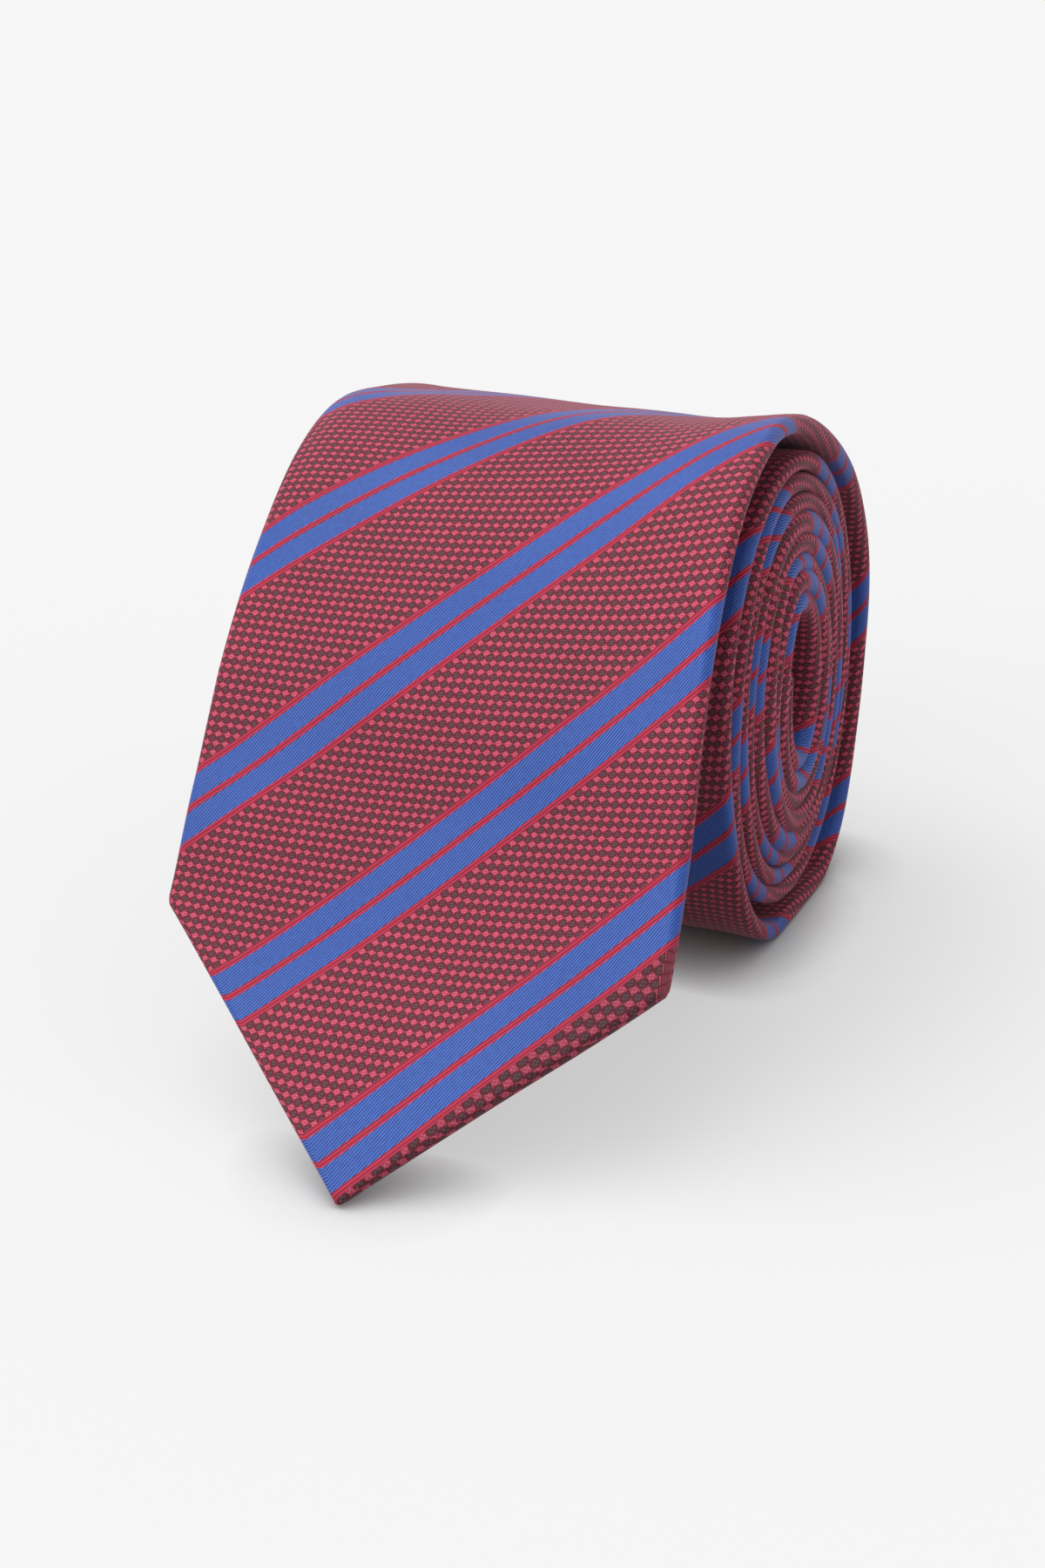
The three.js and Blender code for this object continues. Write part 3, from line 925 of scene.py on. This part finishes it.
@dataclass
class ShellCloth:
    """The folded shell: a front, two folded edges and two back flaps that meet at a seam."""

    form: TieForm
    placement: Placement
    wardrobe: Wardrobe
    front_columns: int = 15
    fold_columns: int = 6
    back_columns: int = 9
    cut: ClothCut = ClothCut()
    ground_start: float = -0.9
    tip_rounding: float = 2.4
    bead: float = 0.24
    bead_reach: float = 5.0
    flap_lap: float = 0.25
    hem_lap: float = 0.3
    hem_below: float = 1.29

    def columns(self) -> list[tuple[str, float]]:
        """The right half's columns, from the middle of the front to the back flap's edge."""
        front = [("front", math.sin(k / self.front_columns * math.pi / 2))
                 for k in range(self.front_columns + 1)]
        fold = [("fold", k / self.fold_columns) for k in range(1, self.fold_columns + 1)]
        back = [("back", k / self.back_columns) for k in range(1, self.back_columns + 1)]
        return front + fold + back

    def _half(self, s: Points, sign: int) -> tuple[Points, ...]:
        """One half of the section at every station.

        Args:
            s: Distances from the tip.
            sign: 1 for the right half, -1 for the left.

        Returns:
            Arrays of x, n, cloth u and v, the point hem's u and v, and the painted highlight on the
            fold.
        """
        flat = self.form.flat
        width, opening = flat.half_width(s), flat.back_opening(s)
        fold = np.minimum(flat.thickness / 2, 0.35 * width)
        tips = np.minimum(s - self.ground_start, flat.length - s)
        inward = np.clip(tips / self.tip_rounding, 0.02, 1)
        high = flat.thickness / 2 * np.sqrt(np.clip(1 - (1 - inward) ** 2, 0, 1))
        shoulder = width - fold
        arc = math.pi * fold
        bead = self.bead * smooth(tips, 4.0, 40.0)
        xs, ns, us, vs, hem_us, hem_vs, painted_highlight = ([] for _ in range(7))
        for kind, part in self.columns():
            if kind == "front":
                x, round_by, back_by = shoulder * part, 0.0 * s, 0.0 * s
                n = high + bead * smooth(x, shoulder - self.bead_reach, shoulder)
            elif kind == "fold":
                angle = math.pi / 2 - math.pi * part
                x = shoulder + fold * math.cos(angle)
                n, round_by, back_by = (high + bead) * math.sin(angle), arc * part, 0.0 * s
            else:
                x = shoulder + (opening - shoulder) * part
                lap = smooth(part, 0.8, 1.0) * self.flap_lap
                n = lap - high - bead * smooth(x, shoulder - self.bead_reach, shoulder)
                round_by, back_by = arc, shoulder - x
            xs.append(sign * x)
            ns.append(n)
            edge = x if kind == "front" else shoulder
            us.append(sign * (edge + round_by + back_by))
            vs.append(s)
            hem_us.append(sign * (edge + round_by * math.sqrt(0.5)))
            hem_vs.append(s - round_by * math.sqrt(0.5) - back_by)
            # The crest of each folded edge gets a painted highlight, strongest midway round the
            # fold.
            painted_highlight.append(np.full_like(s, math.sin(part * math.pi) ** 4 if kind == "fold" else 0.0))
        return tuple(np.stack(a, axis=1) for a in (xs, ns, us, vs, hem_us, hem_vs, painted_highlight))

    def sheet(self, name: str, start: float, end: float, step: float) -> bpy.types.Object:
        """Makes the shell cloth between two distances.

        Args:
            name: The piece's name.
            start: Where along the tie it starts.
            end: Where it ends.
            step: How far apart its rows are.

        Returns:
            The finished piece.
        """
        s = Stations(start, end, step).values()
        halves = [self._half(s, -1), self._half(s, 1)]
        x, n, u, v, hem_u, hem_v, painted_highlight = (
            np.concatenate([left[:, :0:-1], right], axis=1) for left, right in zip(*halves)
        )
        along = np.repeat(s[:, None], x.shape[1], axis=1)
        back = n < 0
        flat = self.form.flat
        to_point = (flat.half_width(along) - np.abs(x)) / math.sqrt(2)
        to_side = flat.blade_half - np.abs(x)
        lapped = smooth(to_point - to_side, 0.0, 1.2) * (1 - smooth(along, 60.0, 80.0)) * back
        n = n - self.hem_lap * lapped
        points = self.form.settle(along.ravel(), x.ravel(), n.ravel()).reshape(*x.shape, 3)
        cloth = np.stack(self.cut.place(u, v, flat.blade_half), axis=-1)
        hem = np.stack(self.cut.place(hem_u, hem_v, flat.blade_half), axis=-1)
        in_point = (along < flat.blade_half) & (to_point < to_side)
        uses_hem = in_point & (back | (np.abs(n) < self.hem_below))
        middle = x.shape[0] // 2
        inside = self.form.settle(s[middle:middle + 1], np.zeros(1), np.zeros(1))[0]
        outward = points[middle, x.shape[1] // 2] - inside
        piece = ClothGrid(points, cloth, painted_highlight).build(name, outward, flat.cloth, (hem, uses_hem))
        self.declare(s)
        return piece

    def declare(self, s: Points) -> None:
        """Works out the cloth's girth at each station, and keeps nothing."""
        flat = self.form.flat
        fold = np.minimum(flat.thickness / 2, 0.35 * flat.half_width(s))
        girth = 2 * (2 * (flat.half_width(s) - fold) + math.pi * fold - flat.back_opening(s))

    def build(self) -> list[bpy.types.Object]:
        """Makes the four lengths of shell cloth.

        Returns:
            The pieces, dressed and tied to their bodies.
        """
        flat = self.form.flat
        lengths = [
            ("silk_blade_end", self.ground_start, CREST_CUT, 1.1, "front_blade_free_end"),
            ("silk_blade_in_coil", CREST_CUT, flat.blade_join, 1.9, "front_blade_rolled"),
            ("silk_neck_gusset", flat.blade_join, flat.tail_join, 1.7, "neck_gusset"),
            ("silk_tail", flat.tail_join, flat.length - self.ground_start, 1.6, "tail_blade"),
        ]
        pieces = []
        for name, start, end, step, node in lengths:
            piece = self.sheet(name, start, end, step)
            self.wardrobe.dress(piece, Finish.SILK, "shell_fabric")
            self.placement.ride(piece, start, end)
            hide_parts(node)
            pieces.append(piece)
        return pieces


@dataclass
class FlatStrips:
    """Flat lengths of cloth inside or on the back of the tie."""

    form: TieForm
    placement: Placement
    wardrobe: Wardrobe
    columns: int = 12

    def strip(
        self,
        name: str,
        ends: tuple[float, float],
        outer: float,
        thickness: float,
        half: Callable[[Points], Points],
        centre: float = 0.0,
        step: float = 0.9,
    ) -> bpy.types.Object:
        """Makes a strip of cloth that follows the tie.

        Args:
            name: The piece's name.
            ends: Where along the tie it starts and ends.
            outer: Height of the side that looks away from the tie's front.
            thickness: The cloth's thickness.
            half: Half its width at a distance.
            centre: The middle of its width.
            step: How far apart its rows are.

        Returns:
            The finished piece.
        """
        s = Stations(*ends, step).values()
        part = np.linspace(-1, 1, self.columns + 1)
        width = np.asarray(half(s), float)
        x = centre + width[:, None] * part[None, :]
        along = np.repeat(s[:, None], x.shape[1], axis=1)
        n = np.full_like(x, outer)
        points = self.form.settle(along.ravel(), x.ravel(), n.ravel()).reshape(*x.shape, 3)
        middle = len(s) // 2
        below = np.array([centre]), np.array([outer + 1.0])
        inner = self.form.settle(s[middle:middle + 1], *below)[0]
        outward = points[middle, x.shape[1] // 2] - inner
        piece = ClothGrid(points, np.stack([x, along], axis=-1)).build(name, outward, thickness)
        return piece


@dataclass
class Lining:
    """The interlining that fills the shell, and the satin tipping of each end's V."""

    strips: FlatStrips
    wool_half: float = 0.5
    wool_gap: float = 0.3
    tuck: float = 3.0
    tipping_inset: float = 2.2
    tipping_start: float = 10.5
    tipping_past: float = 2.0
    tipping_outer: float = -0.74
    tipping_thickness: float = 0.2
    step: float = 2.2

    def _wool_width(self, s: Points) -> Points:
        """Half the interlining's width, short of the folds and of the points."""
        flat = self.strips.form.flat
        inset = flat.thickness / 2 + self.wool_gap
        ends = np.minimum(s, flat.length - s) + flat.bluntness - 2 * inset
        return np.maximum(np.minimum(flat.half_width(s) - inset, ends), 0.3)

    def _tipping_width(self, s: Points) -> Points:
        """Half the tipping's width: it is tucked under the flaps and the hem."""
        flat = self.strips.form.flat
        inside = flat.half_width(s) - self.tipping_inset
        return np.maximum(np.minimum(flat.back_opening(s) + self.tuck, inside), 0.4)

    def build(self) -> list[bpy.types.Object]:
        """Makes the interlining and the tipping of both ends.

        Returns:
            The pieces, dressed and tied to their bodies.
        """
        strips, flat = self.strips, self.strips.form.flat
        end, inset = flat.length, flat.thickness + 2 * self.wool_gap
        blade_v = (self.tipping_start, flat.blade_opening + self.tipping_past)
        tail_v = (end - flat.tail_opening - self.tipping_past, end - self.tipping_start)
        wool, satin = (Finish.WOOL, "interlining"), (Finish.LINING, "lining")
        plans = [
            ("wool_interlining_end", (inset, CREST_CUT), *wool, "interlining_free_end"),
            ("wool_interlining_in_coil", (CREST_CUT, end - inset), *wool, "interlining_rolled"),
            ("satin_blade_tipping", blade_v, *satin, "front_tipping"),
            ("satin_tail_tipping", tail_v, *satin, "tail_tipping"),
        ]
        pieces = []
        for name, ends, finish, slot, node in plans:
            if finish is Finish.WOOL:
                outer, thickness, half = -self.wool_half, 2 * self.wool_half, self._wool_width
            else:
                outer, thickness = self.tipping_outer, self.tipping_thickness
                half = self._tipping_width
            piece = strips.strip(name, ends, outer, thickness, half, step=self.step)
            strips.wardrobe.dress(piece, finish, slot)
            strips.placement.ride(piece, *ends)
            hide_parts(node)
            pieces.append(piece)
        return pieces


@dataclass
class BackFittings:
    """What is sewn to the tie's back: keeper loop, blank labels and their stitches."""

    strips: FlatStrips
    keeper_at: tuple[float, float] = (228.0, 238.0)
    maker_at: tuple[float, float] = (84.0, 99.0)
    care_at: tuple[float, float] = (52.0, 72.0)
    keeper_half: float = 22.0
    maker_half: float = 23.0
    care_half: float = 5.5
    care_centre: float = -11.5
    label_outer: float = -1.9
    label_thickness: float = 0.3
    stitch_margin: float = 0.8
    tack_half: float = 4.0
    seam_from: float = 22.0
    strand: float = 0.17
    seam_strand: float = 0.14

    def build(self) -> list[bpy.types.Object]:
        """Makes the loop, the labels and every stitch.

        Returns:
            The pieces, dressed and tied to their bodies.
        """
        pieces = [self._keeper(), self._maker_label(), self._care_label()]
        plans = [
            ("keeper_stitch", self.keeper_at, self.keeper_half - 1.0, -2.45),
            ("label_stitch", self.maker_at, self.maker_half - 1.0, -1.95),
        ]
        for name, ends, reach, height in plans:
            inner = (ends[0] + self.stitch_margin, ends[1] - self.stitch_margin)
            for side, sign in (("left", -1), ("right", 1)):
                piece = self._ladder(f"thread_{name}_{side}", inner, sign * reach, height)
                pieces.append(self._finish_thread(piece, ends, f"{name}_{side}"))
        flat = self.strips.form.flat
        for name, at, node in (
            ("thread_blade_bar_tack", flat.blade_opening + 1.2, "front_bar_tack"),
            ("thread_tail_bar_tack", flat.length - flat.tail_opening - 1.6, "tail_bar_tack"),
        ):
            piece = self._bar_tack(name, at)
            pieces.append(self._finish_thread(piece, (at, at + 1), node))
        start = self.strips.form.line.crest_at + self.seam_from
        end = flat.length - flat.tail_opening - 4
        seam = self._slip_stitch("thread_slip_stitch", start, end)
        pieces.append(self._finish_thread(seam, (start, start + 8), "slip_stitch"))
        return pieces

    def _finish_thread(
        self, piece: bpy.types.Object, ends: tuple[float, float], node: str
    ) -> bpy.types.Object:
        """Dresses a stitch, ties it to its body and hides the CAD part that it stands for."""
        return self._finish_cloth(piece, Finish.THREAD, "thread", ends, node)

    def _finish_cloth(
        self,
        piece: bpy.types.Object,
        finish: Finish,
        slot: str,
        ends: tuple[float, float],
        node: str,
    ) -> bpy.types.Object:
        """Dresses a piece, ties it to its body and hides the CAD part that it stands for.

        Args:
            piece: The finished piece.
            finish: What it is made of.
            slot: The record's slot for that finish.
            ends: Where along the tie it lies.
            node: The node that it stands for.

        Returns:
            The same piece.
        """
        self.strips.wardrobe.dress(piece, finish, slot)
        self.strips.placement.ride(piece, *ends)
        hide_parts(node)
        return piece

    def _keeper(self) -> bpy.types.Object:
        """The keeper loop: a band of the shell's own silk across the back."""
        piece = self.strips.strip(
            "silk_keeper_loop", self.keeper_at, -2.4, 0.8,
            lambda s: np.full_like(s, self.keeper_half))
        return self._finish_cloth(
            piece, Finish.SILK, "shell_fabric", self.keeper_at, "keeper_loop")

    def _maker_label(self) -> bpy.types.Object:
        """The blank woven label across the flaps."""
        piece = self.strips.strip(
            "woven_maker_label", self.maker_at, self.label_outer, self.label_thickness,
            lambda s: np.full_like(s, self.maker_half))
        return self._finish_cloth(piece, Finish.LABEL, "label", self.maker_at, "maker_label")

    def _care_label(self) -> bpy.types.Object:
        """The blank care label on the tipping."""
        piece = self.strips.strip(
            "woven_care_label", self.care_at, self.label_outer, self.label_thickness,
            lambda s: np.full_like(s, self.care_half), centre=self.care_centre)
        return self._finish_cloth(piece, Finish.CARE, "care_label", self.care_at, "care_label")

    @staticmethod
    def _tube(bm: bmesh.types.BMesh, path: Points, radius: float) -> None:
        """Adds a thread along a path.

        Args:
            bm: The mesh that takes the thread.
            path: Points in metres.
            radius: The thread's radius in millimetres.
        """
        tangents = np.gradient(path, axis=0)
        rings = []
        for place, tangent in zip(path, tangents):
            turn = Vector(tangent).to_track_quat("Z", "Y").to_matrix().to_4x4()
            ring = bmesh.ops.create_circle(
                bm, segments=STRAND_SIDES, radius=radius * MM,
                matrix=Matrix.Translation(Vector(place)) @ turn,
            )
            rings.append(ring["verts"])
        for first, second in zip(rings, rings[1:]):
            for k in range(STRAND_SIDES):
                after = (k + 1) % STRAND_SIDES
                bm.faces.new((first[k], first[after], second[after], second[k]))
        bm.faces.new(rings[0][::-1])
        bm.faces.new(rings[-1])

    def _ladder(
        self, name: str, ends: tuple[float, float], x: float, height: float
    ) -> bpy.types.Object:
        """A row of short stitches over a piece's end."""
        bm = bmesh.new()
        count = max(3, round((ends[1] - ends[0]) / 1.25))
        for s in np.linspace(ends[0], ends[1], count):
            part = np.linspace(-1, 1, 9)
            xs = x + 0.62 * part
            ns = height - 0.16 * (1 - part**2) + 0.9 * (np.abs(part) ** 6)
            path = self.strips.form.settle(np.full(9, s) + 0.35 * part, xs, ns)
            self._tube(bm, path, self.strand)
        return self._thread(name, bm)

    def _bar_tack(self, name: str, at: float) -> bpy.types.Object:
        """A bar of long strands held by close wraps."""
        bm = bmesh.new()
        half = self.tack_half
        for offset in (-0.28, 0.0, 0.28):
            part = np.linspace(-1, 1, 15)
            ns = -1.62 - 0.12 * (1 - part**2) + 0.5 * np.abs(part) ** 8
            path = self.strips.form.settle(np.full(15, at + offset), half * part, ns)
            self._tube(bm, path, self.strand)
        for x in np.linspace(-half + 0.5, half - 0.5, 15):
            turn = np.linspace(-0.5 * math.pi, 0.5 * math.pi, 7)
            path = self.strips.form.settle(
                at + 0.5 * np.sin(turn),
                np.full(7, x) + 0.12 * np.sin(turn),
                -1.5 - 0.5 * np.cos(turn),
            )
            self._tube(bm, path, self.strand * 0.8)
        return self._thread(name, bm)

    def _slip_stitch(self, name: str, start: float, end: float) -> bpy.types.Object:
        """The loose slip stitch that closes the back seam."""
        s = np.arange(start, end, 1.0)
        beat = 2 * math.pi * s / 9.0
        x = 0.42 * np.sin(beat)
        n = -1.22 - 0.2 * np.cos(2 * beat)
        bm = bmesh.new()
        self._tube(bm, self.strips.form.settle(s, x, n), self.seam_strand)
        return self._thread(name, bm)

    @staticmethod
    def _thread(name: str, bm: bmesh.types.BMesh) -> bpy.types.Object:
        """Turns the strands outside out, shades them smoothly and makes them a piece."""
        bmesh.ops.recalc_face_normals(bm, faces=bm.faces)
        for face in bm.faces:
            face.smooth = True
        return new_object(name, bm)


# ---------------------------------------------------------------------------------- the studio


@dataclass(frozen=True)
class Studio:
    """A plain pale floor that glows for the camera with a painted contact shadow, soft light and
    the camera.
    """

    lens: float = 80.0
    sensor: float = 36.0
    camera_at: tuple[float, float, float] = (0.184161, -0.466403, 0.262812)
    looks: tuple[float, float, float] = (-0.33657, 0.84621, -0.41309)
    floor_size: float = 9.0
    floor_grey: float = 0.47
    floor_glow: float = 0.49
    # how far from the tie the floor's painted contact shadow reaches, in metres
    painted_contact_shadow: float = 0.013
    world: float = 0.52
    lopsided: float = 0.25
    backdrop: float = 0.93

    def build(self) -> None:
        """Places the floor, the lights and the camera."""
        scene = bpy.context.scene
        scene.view_settings.view_transform = "Standard"
        data = bpy.data.cameras.new("camera")
        data.lens, data.sensor_width = self.lens, self.sensor
        data.clip_start = 0.01
        camera = bpy.data.objects.new("camera", data)
        camera.location = self.camera_at
        camera.rotation_euler = Vector(self.looks).to_track_quat("-Z", "Y").to_euler()
        scene.collection.objects.link(camera)
        scene.camera = camera
        bm = bmesh.new()
        bmesh.ops.create_grid(bm, x_segments=1, y_segments=1, size=self.floor_size / 2)
        floor = new_object("studio_floor", bm)
        material, g, shader = start_material(
            "floor_paper", Specular_IOR_Level=0.0, Roughness=0.9,
            Emission_Strength=self.floor_glow,
        )
        g.put(shader.inputs["Base Color"], (self.floor_grey,) * 3)
        # Painted contact shadow: the floor's glow, seen only by the camera, is darkened by ambient
        # occlusion, squared, near the tie.
        painted_contact_shadow = g.node("ShaderNodeAmbientOcclusion", {"samples": 8}, Distance=self.painted_contact_shadow)
        seen = g.node("ShaderNodeLightPath").outputs["Is Camera Ray"]
        shadowed_glow = g.node("ShaderNodeMix", {"data_type": "RGBA", "blend_type": "MULTIPLY"})
        near = painted_contact_shadow.outputs["Color"]
        for socket, value in ((0, 1.0), (6, near), (7, near)):
            g.put(shadowed_glow.inputs[socket], value)
        g.put(shader.inputs["Emission Color"], g.mix(seen, (0.0, 0.0, 0.0), shadowed_glow.outputs[2]))
        floor.data.materials.append(material)
        world = bpy.data.worlds.new("studio")
        world.use_nodes = True
        background = world.node_tree.nodes["Background"]
        background.inputs[0].default_value = (1, 1, 1, 1)
        sky = Graph(world.node_tree)
        way = sky.node("ShaderNodeTexCoord").outputs["Generated"]
        lit = sky.node("ShaderNodeVectorMath", {"operation": "DOT_PRODUCT"})
        sky.put(lit.inputs[0], way)
        lit.inputs[1].default_value = (-0.9, -0.43, 0.0)
        tilt = self.lopsided * self.world
        side = sky.math("MULTIPLY_ADD", lit.outputs["Value"], tilt, self.world)
        seen = sky.node("ShaderNodeLightPath").outputs["Is Camera Ray"]
        sky.put(background.inputs[1], sky.blend(seen, side, self.backdrop))
        scene.world = world
        self._sun("overhead_light", 1.0, 0.9, (-0.3, -0.1, 1.0))
        self._sun("front_light", 0.75, 0.8, (-0.3, -1.0, 0.5))

    @staticmethod
    def _sun(name: str, strength: float, angle: float, towards: tuple[float, float, float]) -> None:
        """Adds a broad, soft light that comes from a direction."""
        data = bpy.data.lights.new(name, "SUN")
        data.energy, data.angle = strength, angle
        lamp = bpy.data.objects.new(name, data)
        lamp.rotation_euler = Vector(towards).to_track_quat("Z", "Y").to_euler()
        bpy.context.scene.collection.objects.link(lamp)


def main() -> None:
    """Builds every sub-assembly in order and reports each piece."""
    logging.basicConfig(level=logging.INFO, format="%(name)s: %(message)s")
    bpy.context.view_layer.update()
    line = RolledLine()
    form = TieForm(FlatTie(length=line.length), line)
    placement = Placement(form)
    wardrobe = Wardrobe()
    strips = FlatStrips(form, placement, wardrobe)
    Studio().build()
    for part in (ShellCloth(form, placement, wardrobe), Lining(strips), BackFittings(strips)):
        for piece in part.build():
            LOG.info("%s: %d faces", piece.name, len(piece.data.polygons))


if __name__ == "__main__":
    main()
